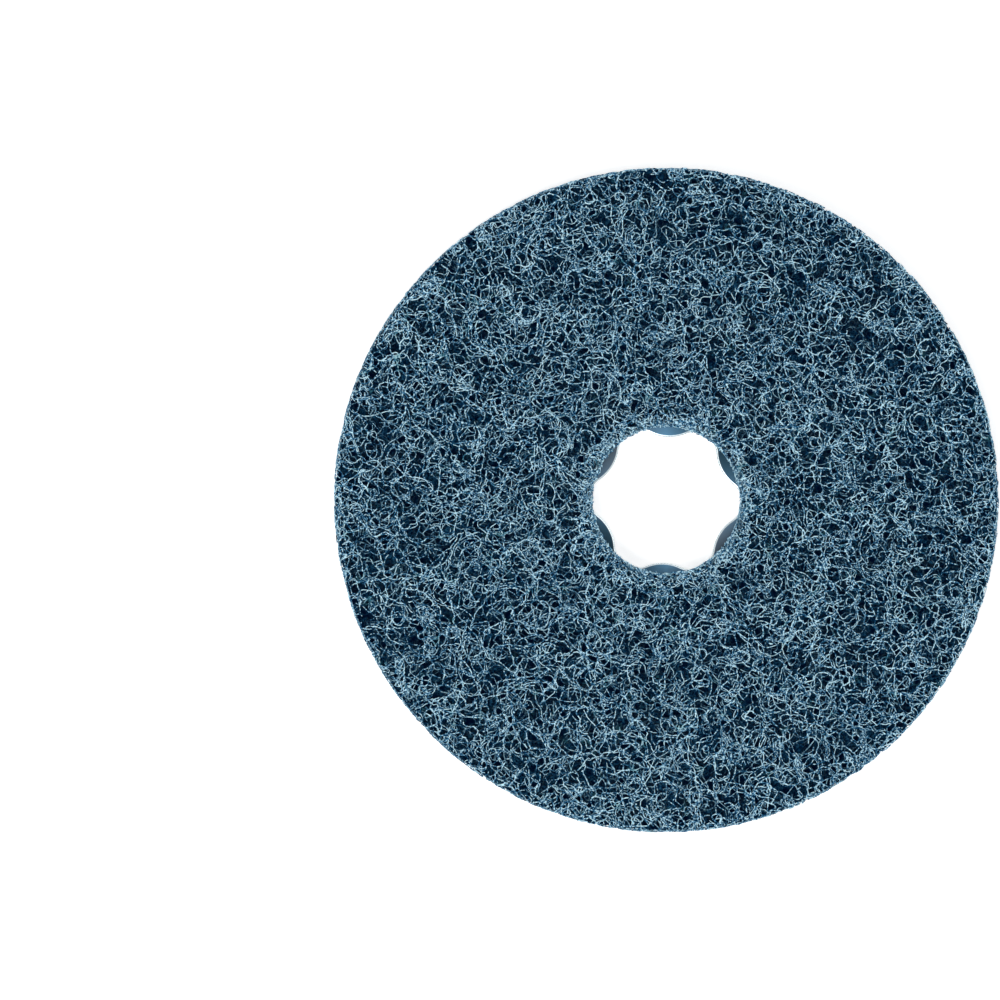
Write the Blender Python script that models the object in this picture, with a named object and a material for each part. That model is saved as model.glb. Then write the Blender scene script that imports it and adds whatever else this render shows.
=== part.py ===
"""Surface conditioning disc: a disc of needled abrasive web with a stamped steel mounting ring on its back.

Metres, +Z up. The disc lies with its abrasive face up and rests on the crest of the ring's bead.
The origin is on the disc's axis, at the height of that crest.
"""

import math

import bmesh
import bpy
from mathutils import Vector, noise

# The abrasive web; its hollows are shares of their greatest depth
DISC_DIAMETER = 0.115
WEB_THICKNESS = 0.006
WEB_BORE_DIAMETER = 0.02532
CUT_EDGE_ROUNDING = 0.0004
HOLLOW_DEPTH = 0.0009
HOLLOW_SPACING = 0.0038
TUFT_PITCH = 0.0026
MEAN_HOLLOW = 0.5
BROAD_HOLLOWS = 0.6
FINE_HOLLOWS = 0.4

# The ring's sheet, and how it sits in the web's back
SHEET_THICKNESS = 0.0006
RING_SINK = 0.0003
SEAT_CLEARANCE = 0.0003
FLANGE_WIDTH = 0.0048
SHEARED_EDGE_BREAK = 0.00012

# The ring's star-shaped hole
LOBE_COUNT = 6
HOLE_VALLEY_RADIUS = 0.01088
LOBE_DEPTH = 0.00225
STAR_TURN = math.radians(-2.0)

# The bead that runs round the hole, between the flat lip and the flange
LIP_WIDTH = 0.0028
CREST_ABOVE_LIP = 0.0007
CREST_ABOVE_FLANGE = 0.0016
BEAD_WALL_ANGLE = math.radians(65.0)
CREST_INSIDE_RADIUS = 0.00015
FOOT_INSIDE_RADIUS = 0.0001
BEAD_VALLEY_RADIUS = 0.0025

# How finely the round forms are divided
WEB_STEPS_ROUND = 104
LOBE_ARC_STEPS = 9
VALLEY_ARC_STEPS = 5
BEND_STEP_ANGLE = math.radians(22.0)
SMOOTH_SHADING_ANGLE = math.radians(40.0)

# Sizes that follow from those above
DISC_RADIUS = DISC_DIAMETER / 2
WEB_BORE_RADIUS = WEB_BORE_DIAMETER / 2
HALF_SHEET = SHEET_THICKNESS / 2
CREST_HEIGHT = HALF_SHEET
LIP_HEIGHT = CREST_HEIGHT + CREST_ABOVE_LIP
FLANGE_HEIGHT = CREST_HEIGHT + CREST_ABOVE_FLANGE
FLANGE_FRONT = FLANGE_HEIGHT + HALF_SHEET
WEB_SEAT = FLANGE_FRONT + SEAT_CLEARANCE
WEB_BACK = FLANGE_FRONT - RING_SINK
WEB_FACE = WEB_BACK + WEB_THICKNESS

# Base colour, roughness and metallic value
WEB_FINISH = ((0.041, 0.093, 0.138, 1.0), 0.9, 0.0)
STEEL_FINISH = ((0.36, 0.39, 0.44, 1.0), 0.38, 1.0)


def clear_scene():
    """Removes what a new Blender file holds."""
    for leftover in list(bpy.data.objects):
        bpy.data.objects.remove(leftover)


def finish_material(name, finish):
    """A material of one base colour, roughness and metallic value."""
    base_colour, roughness, metallic = finish
    material = bpy.data.materials.new(name)
    material.use_nodes = True
    shader = material.node_tree.nodes["Principled BSDF"]
    shader.inputs["Base Color"].default_value = base_colour
    shader.inputs["Roughness"].default_value = roughness
    shader.inputs["Metallic"].default_value = metallic
    return material


def part_from(form, name, material):
    """Turns a finished bmesh into a named object, smooth over its round stretches."""
    mesh = bpy.data.meshes.new(name)
    form.to_mesh(mesh)
    form.free()
    mesh.shade_smooth()
    mesh.set_sharp_from_angle(angle=SMOOTH_SHADING_ANGLE)
    mesh.materials.append(material)
    part = bpy.data.objects.new(name, mesh)
    bpy.context.scene.collection.objects.link(part)
    return part


def closed_skin(name, loops, material):
    """An object whose skin joins each closed loop of points to the next, and the last to the first."""
    form = bmesh.new()
    rows = [[form.verts.new(point) for point in loop] for loop in loops]
    for row, following in zip(rows, rows[1:] + rows[:1]):
        count = len(row)
        for step in range(count):
            after = (step + 1) % count
            form.faces.new((row[step], row[after], following[after], following[step]))
    bmesh.ops.recalc_face_normals(form, faces=form.faces)
    return part_from(form, name, material)


def hollow_at(x, y):
    """How far the web's face sinks between its tufts of fibre at one place."""
    broad = noise.noise(Vector((x, y, 0.0)) / HOLLOW_SPACING)
    fine = noise.noise(Vector((y, x, HOLLOW_SPACING)) / (HOLLOW_SPACING / 2))
    share = MEAN_HOLLOW + BROAD_HOLLOWS * broad + FINE_HOLLOWS * fine
    return HOLLOW_DEPTH * min(max(share, 0.0), 1.0)


def felted_slab():
    """A slab of web, larger than the disc: tufted on its upper face and flat below, for the die to cut."""
    reach = DISC_RADIUS + 2 * TUFT_PITCH
    row_pitch = TUFT_PITCH * math.sqrt(3) / 2
    rows_each_way = math.ceil(reach / row_pitch)
    steps_each_way = math.ceil(reach / TUFT_PITCH)
    form = bmesh.new()
    rows = []
    for row in range(-rows_each_way, rows_each_way + 1):
        stagger = TUFT_PITCH / 2 * (row % 2)
        y = row * row_pitch
        across = [step * TUFT_PITCH + stagger for step in range(-steps_each_way, steps_each_way + 1)]
        rows.append([form.verts.new((x, y, WEB_FACE - hollow_at(x, y))) for x in across])
    for row, (near, far) in enumerate(zip(rows, rows[1:])):
        leans_back = (row - rows_each_way) % 2
        for step in range(len(near) - 1):
            corners = (near[step], near[step + 1], far[step + 1], far[step])
            if leans_back:
                form.faces.new((corners[0], corners[1], corners[2]))
                form.faces.new((corners[0], corners[2], corners[3]))
            else:
                form.faces.new((corners[0], corners[1], corners[3]))
                form.faces.new((corners[1], corners[2], corners[3]))
    rim = [edge for edge in form.edges if edge.is_boundary]
    skirt = bmesh.ops.extrude_edge_only(form, edges=rim)["geom"]
    for vertex in (item for item in skirt if isinstance(item, bmesh.types.BMVert)):
        vertex.co.z = WEB_BACK - WEB_THICKNESS
    bmesh.ops.holes_fill(form, edges=[edge for edge in form.edges if edge.is_boundary])
    bmesh.ops.recalc_face_normals(form, faces=form.faces)
    return form


def web_die_loops():
    """The die that cuts the web: bored, stepped for the ring's seat, rounded at the back and open above."""
    seat_radius = ring_radius() + SEAT_CLEARANCE
    above = WEB_FACE + WEB_THICKNESS
    profile = [
        (WEB_BORE_RADIUS, WEB_SEAT),
        (seat_radius, WEB_SEAT),
        (seat_radius, WEB_BACK),
        (DISC_RADIUS - CUT_EDGE_ROUNDING, WEB_BACK),
        (DISC_RADIUS, WEB_BACK + CUT_EDGE_ROUNDING),
        (DISC_RADIUS, above),
        (WEB_BORE_RADIUS, above),
    ]
    loops = []
    for radius, height in profile:
        angles = [math.tau * step / WEB_STEPS_ROUND for step in range(WEB_STEPS_ROUND)]
        loops.append([(radius * math.cos(angle), radius * math.sin(angle), height) for angle in angles])
    return loops


def abrasive_web():
    """The needled web: tufted on its open face, flat on its felted back, cut round and bored through."""
    material = finish_material("fibre_web", WEB_FINISH)
    die = closed_skin("web_die", web_die_loops(), material)
    die.hide_render = True
    die.display_type = "WIRE"
    web = part_from(felted_slab(), "abrasive_web", material)
    cut = web.modifiers.new("die_cut", "BOOLEAN")
    cut.operation = "INTERSECT"
    cut.solver = "EXACT"
    cut.object = die
    return web


def bead_wall(rise, foot_radius, crest_radius):
    """The slope of one bead wall and the straight length left between its two bends."""
    radii = foot_radius + crest_radius
    slope = min(BEAD_WALL_ANGLE, math.acos(max(0.0, 1 - rise / radii)))
    straight = (rise - radii * (1 - math.cos(slope))) / math.sin(slope)
    return slope, straight


def bend(path, turn, radius):
    """Adds a bend to a path of (distance, height, heading); a positive turn goes up."""
    distance, height, heading = path[-1]
    steps = math.ceil(abs(turn) / BEND_STEP_ANGLE)
    side = math.copysign(radius, turn)
    centre_distance = distance - side * math.sin(heading)
    centre_height = height + side * math.cos(heading)
    for step in range(1, steps + 1):
        angle = heading + turn * step / steps
        path.append((centre_distance + side * math.sin(angle), centre_height - side * math.cos(angle), angle))


def straight(path, length):
    """Adds a straight run to a path of (distance, height, heading)."""
    distance, height, heading = path[-1]
    path.append((distance + length * math.cos(heading), height + length * math.sin(heading), heading))


def sheet_path():
    """The middle of the ring's sheet from the hole's edge to the flange, as (distance, height, heading)."""
    foot_radius = FOOT_INSIDE_RADIUS + HALF_SHEET
    crest_radius = CREST_INSIDE_RADIUS + HALF_SHEET
    lip_slope, lip_straight = bead_wall(CREST_ABOVE_LIP, foot_radius, crest_radius)
    flange_slope, flange_straight = bead_wall(CREST_ABOVE_FLANGE, foot_radius, crest_radius)
    path = [(0.0, LIP_HEIGHT, 0.0)]
    straight(path, LIP_WIDTH)
    bend(path, -lip_slope, foot_radius)
    straight(path, lip_straight)
    bend(path, lip_slope, crest_radius)
    bend(path, flange_slope, crest_radius)
    straight(path, flange_straight)
    bend(path, -flange_slope, foot_radius)
    return path


def ring_radius():
    """The flange's outer radius: past the bead's foot at the lobes by the flange's width."""
    return HOLE_VALLEY_RADIUS + LOBE_DEPTH + sheet_path()[-1][0] + FLANGE_WIDTH


def star_outline():
    """The hole's edge as (point, outward direction): lobe arcs and valley arcs, each tangent to the next."""
    half_pitch = math.pi / LOBE_COUNT
    lobe_reach = HOLE_VALLEY_RADIUS + LOBE_DEPTH
    valley_arc = BEAD_VALLEY_RADIUS + sheet_path()[-1][0]
    valley_centre = HOLE_VALLEY_RADIUS + valley_arc
    along = valley_centre * math.cos(half_pitch)
    gap_squared = lobe_reach**2 + valley_centre**2 - 2 * lobe_reach * along
    lobe_arc = (gap_squared - valley_arc**2) / (2 * (lobe_reach - along + valley_arc))
    lobe_centre = lobe_reach - lobe_arc
    half_sweep = math.atan2(valley_centre * math.sin(half_pitch), along - lobe_centre)
    outline = []
    for lobe in range(LOBE_COUNT):
        lobe_angle = STAR_TURN + 2 * half_pitch * lobe
        valley_angle = lobe_angle + half_pitch
        for step in range(LOBE_ARC_STEPS):
            angle = lobe_angle - half_sweep + 2 * half_sweep * step / LOBE_ARC_STEPS
            outward = Vector((math.cos(angle), math.sin(angle), 0.0))
            centre = lobe_centre * Vector((math.cos(lobe_angle), math.sin(lobe_angle), 0.0))
            outline.append((centre + outward * lobe_arc, outward))
        for step in range(VALLEY_ARC_STEPS):
            turned = (half_sweep - half_pitch) * (1 - 2 * step / VALLEY_ARC_STEPS)
            angle = valley_angle + turned
            outward = Vector((math.cos(angle), math.sin(angle), 0.0))
            centre = valley_centre * Vector((math.cos(valley_angle), math.sin(valley_angle), 0.0))
            outline.append((centre - outward * valley_arc, outward))
    return outline


def star_loop(outline, distance, height):
    """A loop that runs beside the hole's edge, at one distance from it."""
    lift = Vector((0.0, 0.0, height))
    return [point + outward * distance + lift for point, outward in outline]


def round_loop(outline, radius, height):
    """A round loop whose points stand opposite those of the hole's edge."""
    loop = []
    for point, _outward in outline:
        direction = point.normalized()
        loop.append(direction * radius + Vector((0.0, 0.0, height)))
    return loop


def sheet_side(outline, side):
    """The loops of one face of the sheet; side is 1 for the web's side and -1 for the machine's side."""
    loops = []
    for distance, height, heading in sheet_path():
        across = distance - side * HALF_SHEET * math.sin(heading)
        loops.append(star_loop(outline, across, height + side * HALF_SHEET * math.cos(heading)))
    return loops


def mounting_ring():
    """The stamped ring: a flat lip round the star-shaped hole, a rounded bead and a flat round flange."""
    outline = star_outline()
    radius = ring_radius()
    edge = SHEARED_EDGE_BREAK
    machine_side = sheet_side(outline, -1)
    web_side = sheet_side(outline, 1)
    machine_side[0] = star_loop(outline, edge, LIP_HEIGHT - HALF_SHEET)
    machine_side.insert(0, star_loop(outline, 0.0, LIP_HEIGHT - HALF_SHEET + edge))
    machine_side.append(round_loop(outline, radius - edge, FLANGE_HEIGHT - HALF_SHEET))
    machine_side.append(round_loop(outline, radius, FLANGE_HEIGHT - HALF_SHEET + edge))
    web_side.append(round_loop(outline, radius, FLANGE_FRONT))
    loops = machine_side + web_side[::-1]
    return closed_skin("mounting_ring", loops, finish_material("ring_steel", STEEL_FINISH))


clear_scene()
abrasive_web()
mounting_ring()
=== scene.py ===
import math
from typing import NamedTuple

import bmesh
import bpy
import numpy
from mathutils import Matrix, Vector, noise


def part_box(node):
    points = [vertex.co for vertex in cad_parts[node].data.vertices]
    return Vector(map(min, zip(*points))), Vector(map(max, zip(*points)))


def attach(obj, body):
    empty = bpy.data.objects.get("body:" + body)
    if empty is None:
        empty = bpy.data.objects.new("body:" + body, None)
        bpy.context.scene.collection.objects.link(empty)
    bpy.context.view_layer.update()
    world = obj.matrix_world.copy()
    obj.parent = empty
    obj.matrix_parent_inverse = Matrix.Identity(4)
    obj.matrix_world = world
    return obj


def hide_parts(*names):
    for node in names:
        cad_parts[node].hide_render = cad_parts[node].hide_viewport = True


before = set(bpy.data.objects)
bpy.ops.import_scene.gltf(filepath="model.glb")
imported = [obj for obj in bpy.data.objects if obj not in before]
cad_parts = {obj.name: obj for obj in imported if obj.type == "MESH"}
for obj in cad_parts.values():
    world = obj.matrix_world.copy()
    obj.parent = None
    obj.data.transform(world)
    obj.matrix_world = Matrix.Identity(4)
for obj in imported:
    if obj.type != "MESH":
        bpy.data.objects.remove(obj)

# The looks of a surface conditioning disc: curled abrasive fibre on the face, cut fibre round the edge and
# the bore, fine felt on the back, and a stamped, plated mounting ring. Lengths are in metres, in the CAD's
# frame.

bl_info = {
    "name": "Surface conditioning disc",
    "version": (1, 0, 0),
    "blender": (4, 5, 0),
    "location": "3D View > Sidebar > Disc",
    "description": "Dresses an abrasive disc in fibre, felt and plated steel",
    "category": "Add Mesh",
}

WEB_NODE = "abrasive_web"
RING_NODE = "mounting_ring"
BODY = "root"
WEB_SLOT = "fibre_web"
RING_SLOT = "ring_steel"
WEB_LOW, WEB_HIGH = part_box(WEB_NODE)
RING_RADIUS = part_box(RING_NODE)[1].x
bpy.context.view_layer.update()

# How finely forms are divided
BED_STEPS = 128
HEART_STEPS_ROUND = 256
HEART_RINGS_ACROSS = 56
CUT_BAND_RINGS = 4
BACK_RINGS = (0.25, 0.5, 0.75, 0.97, 1.0)
LOBE_STEPS = 18
VALLEY_STEPS = 10
BEND_STEPS = 6
EDGE_STEPS = 3
LIP_BANDS = 4
FLANGE_BANDS = (0.04, 0.35, 0.65, 0.96)

# The star-shaped hole has six lobes
LOBE_COUNT = 6

# Where the painted shade on the flange beside the bead's valleys starts from the disc's axis, how wide it is
# and how dark
VALLEY_SHADE_START = 0.0158
VALLEY_SHADE_WIDTH = 0.0042
VALLEY_SHADE_DARKNESS = 0.5

# The plating's noise in cells for each metre, how much the front's tints of painted reflection and shade
# cover it, and its roughness on flats and on bends
PLATING_GRAIN = 5200.0
PLATING_CLOUD = 260.0
FRONT_TINT_SHARE = 0.85
FLAT_ROUGHNESS = 0.46
BENT_ROUGHNESS = 0.22

# The web's holes between its tufts, coarse and fine, as (spacing, radius)
WEB_HOLES = ((0.0024, 0.0011), (0.0014, 0.0005))

# What takes the height out of a place
LEVEL = (1.0, 1.0, 0.0)

# A bound on Y that no fibre reaches, for layers that only a round die cuts
NO_BOUND = 10.0


def size(name, description, default):
    """A setting in metres."""
    return bpy.props.FloatProperty(name=name, description=description, default=default, unit="LENGTH")


def slope(name, description, degrees):
    """A setting that holds an angle."""
    default = math.radians(degrees)
    return bpy.props.FloatProperty(name=name, description=description, default=default, subtype="ANGLE")


def tint(name, description, *default):
    """A setting that holds a colour."""
    return bpy.props.FloatVectorProperty(name=name, description=description, subtype="COLOR", default=default)


class WebSettings(bpy.types.PropertyGroup):
    """Sizes of the needled web and of its fibre."""

    bore_radius: size("Bore radius", "Radius of the web's round bore", 0.01266)
    seat_radius: size("Seat radius", "Radius of the ring's seat in the back", 0.0232)
    seat_depth: size("Seat depth", "Depth of the ring's seat in the back", 0.0006)
    heart_depth: size("Heart depth", "From the face down to the dense heart", 0.0013)
    heart_bumps: size("Heart bumps", "Height of the heart's tufts", 0.0005)
    cut_band: size("Cut band", "Width of the matted web beside a cut", 0.0012)
    skin_depth: size("Skin depth", "Thickness of the fibre on walls and back", 0.00045)
    fibre_radius: size("Fibre radius", "Radius of a coarse fibre", 0.000092)
    curl_radius: size("Curl radius", "Radius of a coarse fibre's curls", 0.0009)
    felt_radius: size("Felt fibre radius", "Radius of a fine fibre", 0.00009)
    felt_curl: size("Felt curl radius", "Radius of a fine fibre's curls", 0.0006)
    seed: bpy.props.IntProperty(name="Seed", description="Seed of the fibres' random places", default=11)


class ColourSettings(bpy.types.PropertyGroup):
    """Colours of the fibre and of the steel."""

    pale_fibre: tint("Pale fibre", "The brightest fibre", 0.62, 0.89, 1.0)
    middle_fibre: tint("Middle fibre", "Fibre of middle tone", 0.05, 0.235, 0.43)
    blue_fibre: tint("Blue fibre", "The darkest fibre on top", 0.0, 0.024, 0.078)
    # Painted shade of the web's deep gaps
    deep_fibre_shade: tint("Deep fibre", "Gaps far down", 0.0, 0.002, 0.013)
    felt_pale: tint("Pale felt", "Brightest felt on the back", 0.56, 0.86, 1.0)
    felt_blue: tint("Blue felt", "Felt of middle tone", 0.055, 0.18, 0.275)
    # Painted shade in the felt's gaps and under its fibre
    felt_gap_shade: tint("Felt gap", "Gaps in the felt", 0.0, 0.006, 0.018)
    # Painted dark reflection and shade on the front's plating, the dark end of its tints
    dark_reflection_steel: tint("Dark steel", "Its darker tint", 0.003, 0.030, 0.050)
    flat_steel: tint("Flat steel", "Dull plating on flats", 0.105, 0.115, 0.142)
    front_steel: tint("Front steel", "Plating on the web's side", 0.075, 0.19, 0.30)
    # Painted reflection on the front's plating, the grey end of its tints
    grey_reflection_steel: tint("Grey steel", "Its greyer tint", 0.052, 0.078, 0.103)
    # Painted shade beside the bead's valleys and at the bead's feet
    shade_steel: tint("Pressed steel", "Dark press marks", 0.012, 0.03, 0.045)
    # Painted highlight on the ring's bends and sheared edges
    highlight_steel: tint("Bent steel", "Bright plating on bends", 0.74, 0.82, 0.84)


class RingSettings(bpy.types.PropertyGroup):
    """Sizes of the stamped ring, as its sheet is bent."""

    sheet: size("Sheet", "Thickness of the sheet", 0.0006)
    valley_radius: size("Valley radius", "The hole's reach between lobes", 0.01088)
    lobe_depth: size("Lobe depth", "How far lobes reach past valleys", 0.00225)
    lip_width: size("Lip width", "Flat lip round the hole", 0.0028)
    crest_above_lip: size("Crest above lip", "The bead's rise over the lip", 0.0007)
    crest_above_flange: size("Crest above flange", "The bead's rise over the flange", 0.0016)
    wall_angle: slope("Wall angle", "Slope of the bead's walls", 65)
    crest_bend: size("Crest bend", "Inside radius of the crest", 0.00015)
    foot_bend: size("Foot bend", "Inside radius of the feet", 0.0001)
    bead_valley: size("Bead valley", "Tightest curve outside the bead", 0.0025)
    edge_break: size("Edge break", "Rounding of sheared edges", 0.00016)
    star_turn: slope("Star turn", "Turn of the star's first lobe", -2)


class StageSettings(bpy.types.PropertyGroup):
    """The camera's frame and the light."""

    frame_width: size("Frame width", "Width that the picture covers", 0.1727)
    disc_right_of_middle: size("Disc offset", "The disc's axis from the picture's middle", 0.02873)
    camera_height: size("Camera height", "Camera above the disc's face", 2.0)
    floor_size: size("Floor size", "Side of the square floor", 4.0)
    sky_strength: bpy.props.FloatProperty(name="Sky strength", description="Even light", default=0.55)
    lamp_power: bpy.props.FloatProperty(
        name="Lamp power", description="Power of the large soft lamp", default=9.0, unit="POWER"
    )


def enabled(sockets, name):
    """The socket of that name that the node's present settings use."""
    return next(socket for socket in sockets if socket.name == name and socket.enabled)


class Output:
    """An output of a node; sums, products and the like of outputs and numbers become Math nodes."""

    def __init__(self, socket):
        self.socket = socket
        self.tree = socket.id_data

    def __add__(self, other):
        return calculate("ADD", self, other)

    def __sub__(self, other):
        return calculate("SUBTRACT", self, other)

    def __rsub__(self, other):
        return calculate("SUBTRACT", other, self)

    def __mul__(self, other):
        return calculate("MULTIPLY", self, other)

    def __truediv__(self, other):
        return calculate("DIVIDE", self, other)

    def __rtruediv__(self, other):
        return calculate("DIVIDE", other, self)


def feed(socket, value):
    """Links a socket to the output that feeds it, or gives it a value; a colour has three numbers."""
    if isinstance(value, Output):
        socket.id_data.links.new(value.socket, socket)
    elif socket.type == "RGBA":
        socket.default_value = (*value, 1.0)
    else:
        socket.default_value = value


def add_node(where, kind, settings=None, **inputs):
    """Adds a node to a tree, or to an output's tree, and gives its outputs.

    An input may be a value or the output that feeds it, and its name has underscores for spaces.
    """
    node = getattr(where, "tree", where).nodes.new(kind)
    for name, value in (settings or {}).items():
        setattr(node, name, value)
    for name, value in inputs.items():
        feed(enabled(node.inputs, name.replace("_", " ")), value)
    return {socket.name: Output(socket) for socket in node.outputs if socket.enabled}


def calculate(operation, *terms, kind="ShaderNodeMath"):
    """The result of a Math node, or of a Vector Math node, for outputs and numbers."""
    tree = next(term.tree for term in terms if isinstance(term, Output))
    node = tree.nodes.new(kind)
    node.operation = operation
    for socket, term in zip(node.inputs, terms):
        feed(socket, term)
    return Output(next(output for output in node.outputs if output.enabled))


def greater(*terms):
    """The greater of two outputs or numbers."""
    return calculate("MAXIMUM", *terms)


def vectors(operation, *terms):
    """A Vector Math node's result for vectors or outputs."""
    return calculate(operation, *terms, kind="ShaderNodeVectorMath")


def scaled(vector, factor):
    """A vector made longer or shorter by a factor."""
    settings = {"operation": "SCALE"}
    return add_node(vector, "ShaderNodeVectorMath", settings, Vector=vector, Scale=factor)["Vector"]


def parts(vector):
    """A vector's parts, under the names X, Y and Z."""
    return add_node(vector, "ShaderNodeSeparateXYZ", Vector=vector)


def joined(x, y, z=0.0):
    """The vector of three values or outputs."""
    return add_node(x, "ShaderNodeCombineXYZ", X=x, Y=y, Z=z)["Vector"]


def from_axis(place):
    """How far a place lies from the disc's axis, from its parts."""
    return vectors("LENGTH", joined(place["X"], place["Y"]))


def point_number(where):
    """Each point's own number."""
    return add_node(where, "GeometryNodeInputIndex")["Index"]


def point_place(where):
    """Each point's own place, in parts."""
    return parts(add_node(where, "GeometryNodeInputPosition")["Position"])


def stored(geometry, name, value, kind="FLOAT", domain="POINT"):
    """The geometry with a number stored on each point or instance."""
    settings = {"data_type": kind, "domain": domain}
    given = {"Geometry": geometry, "Name": name, "Value": value}
    return add_node(geometry, "GeometryNodeStoreNamedAttribute", settings, **given)["Geometry"]


def whole_number(tree, name):
    """A whole number that was stored on each point."""
    return add_node(tree, "GeometryNodeInputNamedAttribute", {"data_type": "INT"}, Name=name)["Attribute"]


# What random values are drawn for; the number keeps one use of the seed apart from another
TIGHTNESS, SIDE, START, SINKING, TONE, THICKNESS, KINKS, LUMPS = range(1, 9)


def random_for(fibre, low, high, seed, use):
    """A random value for each fibre or point."""
    given = {"Min": low, "Max": high, "ID": fibre, "Seed": seed + use}
    return add_node(fibre, "FunctionNodeRandomValue", {"data_type": "FLOAT"}, **given)["Value"]


# How far apart on the noise line two fibres start, and two layers, and how much the noise is widened
FIBRE_SPACING = 7.37
LAYER_SPACING = 311.3
NOISE_SWING = 3.0

# How fast a fibre's curl and its tilt change, in changes for each step
CURL_CHANGES = 0.29
TILT_CHANGES = 0.31


def wander(fibre, step, seed, changes_per_step):
    """A smooth random value from about -1 to 1 along each fibre."""
    apart = fibre * FIBRE_SPACING
    aside = (seed + changes_per_step) * LAYER_SPACING
    along = step * changes_per_step
    place = apart + aside + along
    settings = {"noise_dimensions": "1D"}
    texture = add_node(fibre, "ShaderNodeTexNoise", settings, W=place, Scale=1.0, Detail=1.0)
    return (texture["Fac"] - 0.5) * NOISE_SWING


# Roots keep this share of their mean spacing apart, and are picked from this many times as many
EVENNESS = 0.75
CANDIDATES = 4.0

# How tightly fibres curl beside their layer's mean, and how thick they and their single points are
TIGHTNESS_RANGE = (0.1, 1.1)
FIBRE_SIZES = (0.75, 1.2)
POINT_SIZES = (0.7, 1.35)


def scattered_lines(tree, given):
    """A line of points for each place on the bed, with its fibre's number and each point's step stored."""
    scattered = add_node(
        tree,
        "GeometryNodeDistributePointsOnFaces",
        {"distribute_method": "POISSON"},
        Mesh=given["Geometry"],
        Distance_Min=EVENNESS / calculate("SQRT", given["Density"]),
        Density_Max=given["Density"] * CANDIDATES,
        Seed=given["Seed"],
    )
    count = given["Steps"] + 1.0
    line = add_node(tree, "GeometryNodeMeshLine", Count=count, Offset=(0.0, 0.0, 0.0))
    number = point_number(tree)
    numbered = stored(line["Mesh"], "step", number, "INT")
    points = scattered["Points"]
    placed = add_node(tree, "GeometryNodeInstanceOnPoints", Points=points, Instance=numbered)
    named = stored(placed["Instances"], "fibre", number, "INT", "INSTANCE")
    return add_node(tree, "GeometryNodeRealizeInstances", Geometry=named)["Geometry"]


def summed(kind, value, fibre):
    """A value's sums along each fibre: Leading counts the point itself and Trailing doesn't."""
    settings = {"data_type": kind}
    return add_node(value, "GeometryNodeAccumulateField", settings, Value=value, Group_ID=fibre)


def fibre_heading(given, fibre, step):
    """The heading of each step: a steady curl to one side that tightens and slackens along the fibre."""
    seed = given["Seed"]
    tightness = random_for(fibre, *TIGHTNESS_RANGE, seed, TIGHTNESS)
    side = calculate("SIGN", random_for(fibre, -1.0, 1.0, seed, SIDE))
    change = wander(fibre, step, seed, CURL_CHANGES) * given["Curl Change"]
    curl = tightness * side + change
    bow = curl * given["Step Length"] / given["Curl Radius"]
    kink = random_for(point_number(fibre), -1.0, 1.0, seed, KINKS) * given["Kink"]
    start = random_for(fibre, -math.pi, math.pi, seed, START)
    return start + summed("FLOAT", bow + kink, fibre)["Leading"]


def walked_places(given, fibre, step):
    """Where each point lies after walking its fibre's steps, pressed flat under the layer's top."""
    heading = fibre_heading(given, fibre, step)
    tilt = wander(fibre, step, given["Seed"], TILT_CHANGES) * given["Tilt"]
    level = calculate("COSINE", tilt) * given["Step Length"]
    ahead = calculate("COSINE", heading) * level
    aside = calculate("SINE", heading) * level
    upward = calculate("SINE", tilt) * given["Step Length"]
    walked = summed("FLOAT_VECTOR", joined(ahead, aside, upward), fibre)
    strayed = parts(walked["Trailing"])
    root = point_place(fibre)
    sunk = random_for(fibre, 0.0, 1.0, given["Seed"], SINKING) * given["Layer Depth"]
    height = given["Top"] - sunk + strayed["Z"]
    pressed = calculate("MINIMUM", height, given["Top"])
    return joined(root["X"] + strayed["X"], root["Y"] + strayed["Y"], pressed)


# How fine the clouds are that warp the web's holes, and how far they move them, for a spacing of 1
HOLE_WARP_FINENESS = 1.3
HOLE_WARP_REACH = 0.9

# How far a hole's shade reaches, in radii
HOLE_EDGE = 1.2


def hole_cells(place, spacing):
    """The web's holes as cells on the flat: the warped place that they are measured at, and their outputs."""
    level = vectors("MULTIPLY", place, LEVEL)
    fineness = HOLE_WARP_FINENESS / spacing
    clouds = add_node(place, "ShaderNodeTexNoise", Vector=level, Scale=fineness, Detail=1.0)
    centred = vectors("SUBTRACT", clouds["Color"], (0.5, 0.5, 0.5))
    warped = vectors("ADD", level, scaled(centred, spacing * HOLE_WARP_REACH))
    settings = {"voronoi_dimensions": "2D", "feature": "F1"}
    return warped, add_node(place, "ShaderNodeTexVoronoi", settings, Vector=warped, Scale=1 / spacing)


def away_from_holes(place, spacing, radius, push):
    """Pushes places away from the middle of each hole of the web, so that fibres crowd between the holes."""
    level, cells = hole_cells(place, spacing)
    apart = vectors("MULTIPLY", vectors("SUBTRACT", level, cells["Position"]), LEVEL)
    distance = cells["Distance"] * spacing
    share = greater(1.0 - distance / radius, 0.0)
    strength = push * (parts(cells["Color"])["X"] * 2.0)
    shove = share * share * strength
    moved = scaled(vectors("NORMALIZE", apart), shove * (radius / 2))
    return vectors("ADD", place, moved)


def cut_by_die(given, geometry, place):
    """Deletes the points outside the die's radii and its bounds on Y."""
    radius = from_axis(place)
    outside = calculate("GREATER_THAN", radius, given["Outer Radius"])
    inside = calculate("LESS_THAN", radius, given["Inner Radius"])
    above = calculate("GREATER_THAN", place["Y"], given["High Y"])
    below = calculate("LESS_THAN", place["Y"], given["Low Y"])
    off = greater(greater(outside, inside), greater(above, below))
    settings = {"domain": "POINT", "mode": "ALL"}
    chosen = calculate("GREATER_THAN", off, 0.5)
    cut = add_node(geometry, "GeometryNodeDeleteGeometry", settings, Geometry=geometry, Selection=chosen)
    return cut["Geometry"]


# The kind of a tree's input for each kind of value
SOCKET_KINDS = {float: "NodeSocketFloat", int: "NodeSocketInt", bpy.types.Material: "NodeSocketMaterial"}


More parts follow.
